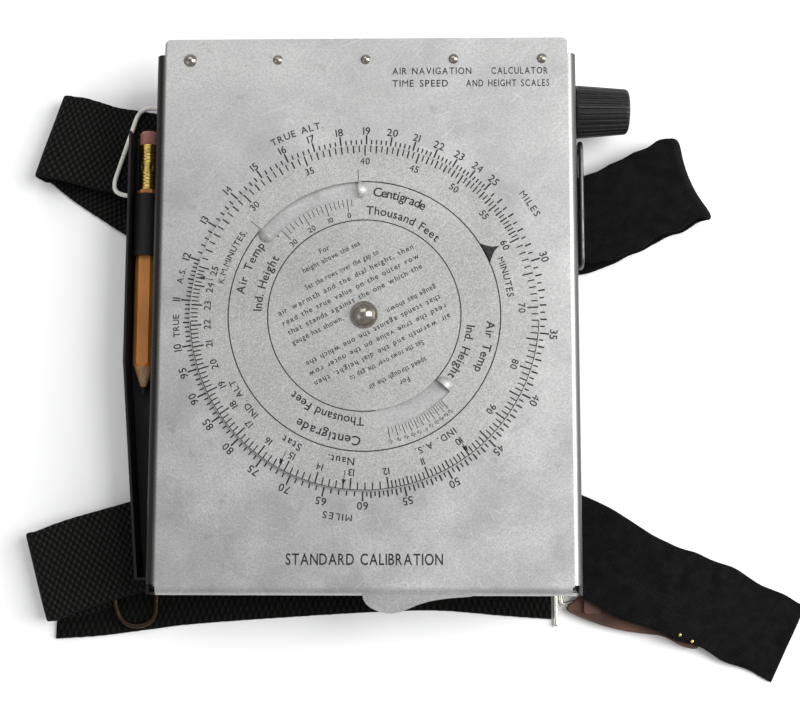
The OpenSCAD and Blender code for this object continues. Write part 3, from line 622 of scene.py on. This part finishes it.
def dial_names(p):
    """Names of the rows, and the arrows that point out at the scale."""
    p.arc_text("K.M.MINUTES.", 294, 50.0, 2.2, 0.4)
    p.arc_text("MINUTES", 75, 49.8, 2.3, 0.5)
    p.arc_text("IND. ALT", 234.8, 49.8, 2.3, 0.5)
    p.arc_text("IND. A.S.", 150.6, 49.4, 2.3, 0.6)
    p.arc_text("Naut.", 188.7, 49.6, 2.6, 0.5)
    p.arc_text("Stat", 209, 49.6, 2.6, 0.5)
    for a in (186.7, 209.2, 283.2, 142.8):
        p.tick(a, 52.5, 55.6, 0.24)
        p.polygon([polar(a - 0.75, 55.6), polar(a, 57.6), polar(a + 0.75, 55.6)][::-1])
    # pointer with hollow sides that stands on the outer circle
    point = [polar(62.7 - s * 5 * (1 - t) ** 1.8, 45.9 + 5.4 * t)
             for s, ts in ((1, (0, 0.15, 0.35, 0.6, 1.0)), (-1, (0.6, 0.35, 0.15, 0.0)))
             for t in ts]
    p.polygon(point)
    for word, spots, radius, size, gap in (
            ("Centigrade", ((16.6, 24.5), (196.6, 30.5)), 42.6, 3.3, 0.5),
            ("Thousand Feet", ((22.5, 43.0), (201.0, 42.0)), 36.1, 3.0, 0.5),
            ("Air Temp", ((105.0, 24.0), (292.5, 25.5)), 42.8, 3.0, 0.5),
            ("Ind. Height", ((111.0, 30.3), (288.0, 31.5)), 36.2, 3.0, 0.5)):
        for angle, span in spots:
            p.arc_text(word, angle, radius, size, gap, span=span)
    for a in (309.8, 357.3):
        p.tick(a, 46.1, 50.3, 0.24)


def height_marks(p):
    """Thousands of feet along the height window's inner edge."""
    degrees = [351.3, 340.4, 328.7, 315.9]
    for i, (a, label) in enumerate(zip(degrees, ("0", "10", "20", "30"))):
        p.tick(a, 40.3, 35.9, 0.26)
        p.arc_text(label, a, 34.6, 1.9, 0.22)
        if i < 3:
            for k in range(1, 5):
                p.tick(a + (degrees[i + 1] - a) * k / 5, 40.3, 37.6, 0.24)
    p.tick(353.4, 39.9, 37.6, 0.24)
    p.dot(312.6, 40.0, 0.34)


def warmth_marks(p):
    """Degrees of temperature along the air speed window's outer edge."""
    degrees = [138.3, 140.7, 143.4, 146.0, 148.8, 151.7, 154.7, 157.7, 160.8, 164.2, 168.0]
    for i, a in enumerate(degrees):
        p.tick(a, 38.9, 42.3, 0.26)
        x, y = polar(a, 43.7)
        m = Matrix.Translation((x, y, 0)) @ Matrix.Rotation(math.radians(-a - 38), 4, "Z")
        for k, char in enumerate(str(abs(50 - 10 * i))):
            p.place(char, 1.15, m @ Matrix.Translation((0.85 * k - 0.4, 0, 0)))
        if i:
            p.tick((a + degrees[i - 1]) / 2, 38.9, 41.0, 0.2)


def directions(p):
    """Plain directions in the middle, one block for each window."""
    turn = 27.0
    c, s = math.cos(math.radians(turn)), math.sin(math.radians(turn))
    for side, flip in ((1, 0), (-1, 180)):
        for row, (text, width, along, up) in enumerate((
                ("For", 3.6, -2.0, 26.3),
                ("height above the sea" if side > 0 else "speed through the air", 21.5, -1.0, 23.0),
                ("Set the rows over the gap to", 27.5, 0.2, 17.4),
                ("air warmth and the dial height, then", 51.0, -0.2, 13.6),
                ("read the true value on the outer row", 51.5, -0.2, 9.9),
                ("that stands against the one which the", 50.5, -0.4, 6.3),
                ("gauge has shown.", 19.0, -16.4, 2.6))):
            x, y = side * (along * c - up * s), side * (along * s + up * c)
            p.text(text, x, y, 1.9, 0.3, turn + flip, width=width)


def print_dial():
    p = Print(DISC_TOP)
    for draw in (dial_scale, dial_names, height_marks, warmth_marks, directions):
        draw(p)
    return p.build("dial_print", "dial")


def print_rose():
    p = Print(ROSE_TOP)
    for d in range(0, 360, 2):
        rank = 2 if d % 10 == 0 else 0
        p.tick(d, 57.6, 55.2 if rank else 56.4, 0.25)
    for d in range(0, 360, 30):
        name = {0: "N", 90: "E", 180: "S", 270: "W"}.get(d, str(d // 10))
        p.arc_text(name, d, 52.8, 3.0 if d % 90 == 0 else 2.4, 0.3)
    return p.build("rose_print", "rose")


def print_glass():
    p = Print(GLASS_TOP)
    for i in range(-4, 5):
        half = math.sqrt(49.0 ** 2 - (i * 10) ** 2)
        p.line((i * 10, -half), (i * 10, half), 0.16 if i else 0.3)
    for r in (15, 30, 45):
        p.arc(r, 0.16)
    p.polygon([(-1.4, 44.5), (1.4, 44.5), (0, 49)])
    return p.build("rose_glass_lines", "rose")


def print_face():
    p = Print(FACE_TOP)
    p.polygon([(-2.2, 70.5), (2.2, 70.5), (0, 65)][::-1])
    p.text("TRACK", 0, 74.2, 3.0, 0.7)
    p.text("TURN KNOB TO MOVE CHART", 0, -74.0, 2.4, 0.6)
    for side in (-1, 1):
        for i in range(-8, 9):
            long = 4.0 if i % 2 == 0 else 2.4
            p.line((side * 68.2, i * 5), (side * (68.2 - long), i * 5), 0.25)
    return p.build("face_print", "case", "pale_ink")


def print_chart():
    p = Print(CHART_TOP)
    for i in range(-5, 6):
        p.line((i * 10, -75), (i * 10, 75), 0.16)
    for i in range(-7, 8):
        p.line((-55, i * 10), (55, i * 10), 0.16)
        p.text(str(50 + i % 10), -52.6, i * 10 + 1.8, 1.8, 0.2)
    coast = [(-50 + 4 * i, 26 + 13 * math.sin(i * 0.35) + 5 * math.sin(i * 1.3 + 1))
             for i in range(26)]
    for a, b in zip(coast, coast[1:]):
        p.line(a, b, 0.45)
    return p.build("chart_print", "case")


# ---------- straps ----------

# mm: the webbing's width, the height of its middle under the case and in the lower left loop's
# lower run, and the lowest that it reaches
STRAP_W = 32.0
UNDER_Z = -1.2
LOOP_Z = 0.5
REST_Z = -2.0


def turn_back(centre, heading, yaw, radius=4.6, low=UNDER_Z, steps=8):
    """A half turn from the top run down to the run at low, about centre, as route points."""
    h = math.radians(heading)
    return [(centre[0] + radius * math.cos(a) * math.cos(h),
             centre[1] + radius * math.cos(a) * math.sin(h),
             low + radius + radius * math.sin(a), yaw)
            for a in (math.pi / 2 - math.pi * i / steps for i in range(steps + 1))]


# x, y and z of the middle of each CAD band and the direction of its width, mm and degrees
ROUTES = {
    "upper_webbing": [(-77.6, 62.6, 3.1, 84), (-87, 64.2, 3.1, 82), (-94.5, 65.4, 3.2, 80),
                      (-102, 66.9, 6.4, 77), (-107, 68, 7.7, 76)]
    + turn_back((-111.4, 68.6), 164, 72)
    + [(-100, 60.6, UNDER_Z, 61), (-90, 54, UNDER_Z, 58), (-78, 46.6, UNDER_Z, 60),
       (-62, 40.6, UNDER_Z, 74), (-40, 38, UNDER_Z, 84), (0, 36.2, UNDER_Z, 87),
       (54, 33.6, UNDER_Z, 87)],
    "lower_left_loop": [(-77.6, -77.2, 4.55, 104), (-88, -80.2, 5.2, 105), (-98, -83.2, 7.4, 105),
                        (-105, -85.6, 8.0, 105)]
    + turn_back((-111, -88), 190, 106, 3.85, LOOP_Z)
    + [(-104, -87.2, LOOP_Z, 108), (-96, -84.6, LOOP_Z, 109), (-92.6, -83.4, LOOP_Z, 109)],
    "lower_webbing": [(-109, -94.5, UNDER_Z, 88), (-93, -93.4, UNDER_Z, 88),
                      (-77, -91.4, UNDER_Z, 87), (-58, -89.1, UNDER_Z, 87),
                      (-16, -86.1, UNDER_Z, 87), (10, -84.6, UNDER_Z, 89),
                      (26, -84.4, UNDER_Z, 91), (46, -86, UNDER_Z, 93),
                      (64.6, -87.2, UNDER_Z, 90)],
    "upper_right_strap": [(72.4, 39.4, 6.4, 92), (78, 37.6, 6.8, 104), (87, 40.2, 7.4, 113),
                          (96, 44.8, 7.9, 115), (105, 49, 8.0, 113)]
    + turn_back((113.3, 52.2), 22, 112)
    + [(103, 48, UNDER_Z, 114), (90, 41.6, UNDER_Z, 114), (78, 36, UNDER_Z, 108),
       (66, 33.4, UNDER_Z, 92), (54.2, 33.6, UNDER_Z, 87)],
    "lower_right_strap": [(72.6, -74.8, 4.6, 88), (77.4, -77.8, 5.0, 72), (82, -81.2, 5.2, 60),
                          (88, -85.2, 5.2, 58), (97.6, -90.4, 5.0, 63), (110.6, -95.2, 4.2, 68),
                          (122.1, -100.4, 2.6, 64), (133, -106, 0.2, 63),
                          (141, -110, UNDER_Z, 63), (146, -112.4, UNDER_Z, 64)],
}


def resample(route, step):
    """Points a step apart along a smooth line through the route, with their yaw."""
    pts = np.array(route, float)
    pts = np.vstack([2 * pts[0] - pts[1], pts, 2 * pts[-1] - pts[-2]])
    out = []
    for i in range(1, len(pts) - 2):
        p0, p1, p2, p3 = pts[i - 1:i + 3]
        n = max(2, int(np.linalg.norm((p2 - p1)[:3]) / step * 3))
        t = np.linspace(0, 1, n, endpoint=False)[:, None]
        m1, m2 = (p2 - p0) / 2, (p3 - p1) / 2
        out.append((2 * t ** 3 - 3 * t ** 2 + 1) * p1 + (t ** 3 - 2 * t ** 2 + t) * m1
                   + (-2 * t ** 3 + 3 * t ** 2) * p2 + (t ** 3 - t ** 2) * m2)
    fine = np.vstack(out + [pts[-2:-1]])
    run = np.concatenate([[0], np.cumsum(np.linalg.norm(np.diff(fine[:, :3], axis=0), axis=1))])
    at = np.linspace(0, run[-1], int(run[-1] / step) + 1)
    return np.stack([np.interp(at, run, fine[:, c]) for c in range(4)], axis=1), at


def strap(name, node, material, thick=1.45, rib=0.10, pitch=1.6, wave=0.12, edge=0.12, ripple=0.5,
          taper=0.0, pull=None):
    """Webbing along the CAD band's own route, with a rounded selvedge and woven ribs.

    pull is (centre, reach, depth): how far the middle of the width is drawn back near a fold,
    where the corners are rounded too.
    """
    step = 0.37
    stations, at = resample(ROUTES[node], step)
    half, t = STRAP_W / 2 - 0.15, thick / 2
    across = [(-half, 0.0), (-half + 0.25, 0.75), (-half + 0.8, 1.0)]
    across += [(x, 1.0) for x in np.linspace(-half + 2.0, half - 2.0, 15)]
    across += [(half - 0.8, 1.0), (half - 0.25, 0.75), (half, 0.0)]
    ring = across + [(x, -h) for x, h in across[-2:0:-1]]
    m = len(ring)
    verts, uvs = [], []
    retreat = (Vector(stations[0][:3]) - Vector(stations[len(at) // 2][:3])).normalized()
    for i, (s, run) in enumerate(zip(stations, at)):
        ahead, behind = stations[min(i + 1, len(at) - 1)], stations[max(i - 1, 0)]
        d = Vector((ahead - behind)[:3]).normalized()
        yaw = math.radians(s[3])
        wide = Vector((math.cos(yaw), math.sin(yaw), 0))
        n = d.cross(wide).normalized()
        ribbing = rib * math.cos(2 * math.pi * run / pitch)
        end = min(1.0, min(run, at[-1] - run) / 0.8 + 0.35)
        for x, h in ring:
            drift = wave * noise.noise(Vector((run * 0.06, x * 0.08, len(name))))
            core = max(0.0, 1 - (abs(x) / half) ** 10)
            up = h * (t * end + ribbing * core) + drift
            side = x - taper * run / at[-1] * (x - half)
            side += edge * noise.noise(Vector((run * ripple, math.copysign(3, x), 7)))
            back = 0.0
            if pull:
                near = max(0.0, 1 - abs(run - pull[0]) / pull[1])
                near *= near * (3 - 2 * near)
                back = near * (pull[2] * (1 - (x / half) ** 2) + 1.8 * (x / half) ** 10)
            point = Vector(s[:3]) + wide * side + n * up + retreat * back
            point.z = max(point.z, REST_Z)
            verts.append(point)
            uvs.append((run * MM, (x + (0 if h >= 0 else 40)) * MM))
    faces = [(i * m + j, i * m + (j + 1) % m, (i + 1) * m + (j + 1) % m, (i + 1) * m + j)
             for i in range(len(at) - 1) for j in range(m)]
    faces += [tuple(range(m))[::-1], tuple(range(len(verts) - m, len(verts)))]
    obj = mesh_object(name, verts, faces, material, "case")
    layer = obj.data.uv_layers.new(name="strap")
    for loop in obj.data.loops:
        layer.data[loop.index].uv = uvs[loop.vertex_index]
    fix_normals(obj)
    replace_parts(obj, node)
    return obj, at[-1]


# ---------- camera, floor and light ----------

FLOOR_Z = REST_Z - 0.05

def studio():
    cam = bpy.data.objects.new("camera", bpy.data.cameras.new("camera"))
    bpy.context.scene.collection.objects.link(cam)
    cam.location = (0.0221, -0.0683, 0.4657)
    cam.rotation_euler = Euler([math.radians(a) for a in (6.86, 1.3, 0.1)])
    cam.data.sensor_width = 36
    cam.data.lens = 58.95
    cam.data.clip_start = 0.01
    bpy.context.scene.camera = cam

    data = bpy.data.meshes.new("floor")
    data.from_pydata([(x * 2.5, y * 2.5, FLOOR_Z * MM)
                      for x, y in ((-1, -1), (1, -1), (1, 1), (-1, 1))], [], [(0, 1, 2, 3)])
    data.materials.append(studio_floor())
    floor = bpy.data.objects.new("floor", data)
    bpy.context.scene.collection.objects.link(floor)

    world = bpy.data.worlds.new("studio")
    world.use_nodes = True
    world.node_tree.nodes["Background"].inputs["Color"].default_value = (0.985, 0.99, 1.0, 1)
    world.node_tree.nodes["Background"].inputs["Strength"].default_value = 0.45
    bpy.context.scene.world = world
    for name, size, power, spot in (("key", (0.7, 1.2), 20, (0.9, 0.1, 0.75)),
                                    ("fill", (1.2, 0.8), 5, (-0.2, 0.9, 1.1)),
                                    ("side", (0.8, 0.8), 1.5, (-1.0, -0.5, 0.8))):
        light = bpy.data.lights.new(name, "AREA")
        light.shape = "RECTANGLE"
        light.size, light.size_y = size
        light.energy = power
        obj = bpy.data.objects.new(name, light)
        obj.location = spot
        obj.rotation_euler = Vector(spot).to_track_quat("Z", "Y").to_euler()
        bpy.context.scene.collection.objects.link(obj)
    bpy.context.scene.view_settings.view_transform = "Standard"


# ---------- straps, rings, ferrule and tab ----------

def straps():
    for name, node, material, held, rests_on, options in (
            ("upper_left_webbing", "upper_webbing", "webbing", "folded", "upper_left_ring_wire", {}),
            ("lower_left_webbing", "lower_left_loop", "webbing", "folded", "lower_left_band", {}),
            ("lower_left_band", "lower_webbing", "band", "laid", "case_shell",
             {"rib": 0.14, "pitch": 1.15}),
            ("upper_right_tape", "upper_right_strap", "hook_loop", "folded",
             "upper_right_ring_wire",
             {"thick": 1.4, "rib": 0.0, "wave": 0.5, "edge": 1.3, "ripple": 0.13,
              "pull": (51, 18, 3.2)}),
            ("lower_right_tape", "lower_right_strap", "hook_loop", "laid", "tab",
             {"thick": 1.4, "rib": 0.0, "wave": 0.6, "edge": 1.0, "ripple": 0.1,
              "taper": 0.09})):
        obj, length = strap(name, node, material, **options)


# mm: the wire's radius, the rings' limbs nearest the case, and the height of each ring's wire
WIRE = 0.8
LEFT_LIMB, RIGHT_LIMB = -73.7, 75.6
UPPER_LEFT_Z, LOWER_LEFT_Z, LOWER_RIGHT_Z = 4.8, 2.3, -1.1


def flat_ring(corners, z):
    return [(x, y, z) for x, y in corners]


def rings():
    for name, node, material, corners, reach, r in (
            ("upper_left_ring_wire", "upper_left_ring", "white_wire",
             flat_ring([(LEFT_LIMB, 47.6), (LEFT_LIMB, 79.8), (-83.3, 80.4), (-92.8, 50.2),
                        (-88.6, 47.4)], UPPER_LEFT_Z), 5, WIRE),
            ("lower_left_ring_wire", "lower_left_ring", "brown_wire",
             flat_ring([(LEFT_LIMB, -103), (LEFT_LIMB, -71), (-88.4, -71), (-88.4, -98),
                        (-85.4, -104.6), (-79, -106)], LOWER_LEFT_Z), 4, WIRE),
            # this ring's dark colour is painted shade
            ("upper_right_ring_wire", "upper_right_ring", "dark_steel",
             [(RIGHT_LIMB, 20.4, 3.2), (RIGHT_LIMB, 64.6, 3.2), (RIGHT_LIMB, 64.6, 12.8),
              (RIGHT_LIMB, 20.4, 12.8)], 4, WIRE + 0.1),
            ("lower_right_ring_wire", "lower_right_ring", "cream_wire",
             flat_ring([(67.9, -98.4), (67.9, -73), (88, -73), (88, -92.6), (77, -95.4)],
                       LOWER_RIGHT_Z), 2.4, WIRE)):
        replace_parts(tube(name, rounded_loop(corners, reach), r, material, "case"), node)


def buckle_bar():
    """The bar that the lower band ends at, with rounded ends and six shallow waists."""
    low, high, r = -104.8, -73.0, 0.85
    profile = [(0.30, low - 0.75), (0.62, low - 0.55), (r, low)]
    profile += [(r - 0.05 * (i % 2), low + (high - low) * i / 12) for i in range(13)]
    profile += [(r, high), (0.62, high + 0.55), (0.30, high + 0.75)]
    bar = lathe_y("buckle_bar_wire", profile, (66.1, LOWER_RIGHT_Z), "cream_wire", "case", 24)
    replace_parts(bar, "buckle_bar")


def ferrule():
    """Thin brass sleeve with two bands of rolled ribs and a ring of crimps."""
    low, high = 47.5, 64.0
    outer, lip, bore = 3.5, 3.30, 3.02
    crimp_low, crimp_high = low + 6.6, high - 6.8
    profile = [(lip, low), (outer, low + 0.2)]
    for i in range(161):
        y = low + 0.3 + (high - low - 0.6) * i / 160
        banded = low + 1.2 < y < low + 6.2 or high - 6.4 < y < high - 1.0
        ripple = 0.13 * (1 - math.cos(2 * math.pi * y / 1.25)) if banded else 0.0
        profile.append((outer - ripple, y))
    profile += [(outer, high - 0.2), (lip, high), (bore, high), (bore, low + 0.1), (lip, low)]
    obj = lathe_y("ferrule_sleeve", profile, (PENCIL_X, PENCIL_Z), "brass", "pencil", 64)
    for v in obj.data.vertices:
        y = v.co.y / MM
        x, z = v.co.x / MM - PENCIL_X, v.co.z / MM - PENCIL_Z
        r = math.hypot(z, x)
        if crimp_low < y < crimp_high and r > 3.2:
            round_it = max(0.0, math.cos(math.atan2(z, x) * 6)) ** 3
            along_it = math.sin(math.pi * (y - crimp_low) / (crimp_high - crimp_low))
            k = (r - round_it * along_it * 0.3) / r
            v.co.x = (PENCIL_X + x * k) * MM
            v.co.z = (PENCIL_Z + z * k) * MM
    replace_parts(obj, "pencil_ferrule")


def pull_tab():
    """Leather tab under the lower right strap: padded edge and a sewn line."""
    corners = [(68.6, -99.4), (73, -101.6), (78, -103.6), (83.6, -105.4), (89.5, -106.8),
               (96, -107.7), (103, -108.4), (110, -112.3), (115.4, -113.2), (114.6, -108),
               (113.4, -103), (107, -97), (100, -92.4), (92, -90), (84, -88.4), (76, -93.4)]
    outline = [tuple(v)[:2] for v in rounded_loop([(x, y, 0) for x, y in corners], 2.2, 3)]
    cx = sum(x for x, _ in outline) / len(outline)
    cy = sum(y for _, y in outline) / len(outline)

    def inset(point, distance):
        v = Vector((cx - point[0], cy - point[1]))
        reach = min(distance, v.length * 0.9) / v.length
        return (point[0] + v.x * reach, point[1] + v.y * reach)

    # each row's distance in from the outline and its height, mm, from the underside over the edge
    rows = ((0.5, -0.2), (0.15, -0.05), (0.0, 0.35), (0.0, 0.8), (0.25, 1.15), (0.8, 1.28),
            (1.6, 1.1), (2.4, 1.27), (9.0, 1.3))
    verts = [(*inset(q, d), z) for d, z in rows for q in outline]
    k, n = len(outline), len(rows)
    faces = [(i * k + j, i * k + (j + 1) % k, (i + 1) * k + (j + 1) % k, (i + 1) * k + j)
             for i in range(n - 1) for j in range(k)]
    faces += [tuple(range(k))[::-1], tuple(range((n - 1) * k, n * k))]
    obj = mesh_object("tab", verts, faces, "leather", "case")
    fix_normals(obj)
    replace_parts(obj, "leather_tab")


# ---------- build ----------

for make in (studio, print_lid, print_dial, print_rose, print_glass, print_face, print_chart,
             straps, rings, buckle_bar, ferrule, pull_tab):
    make()
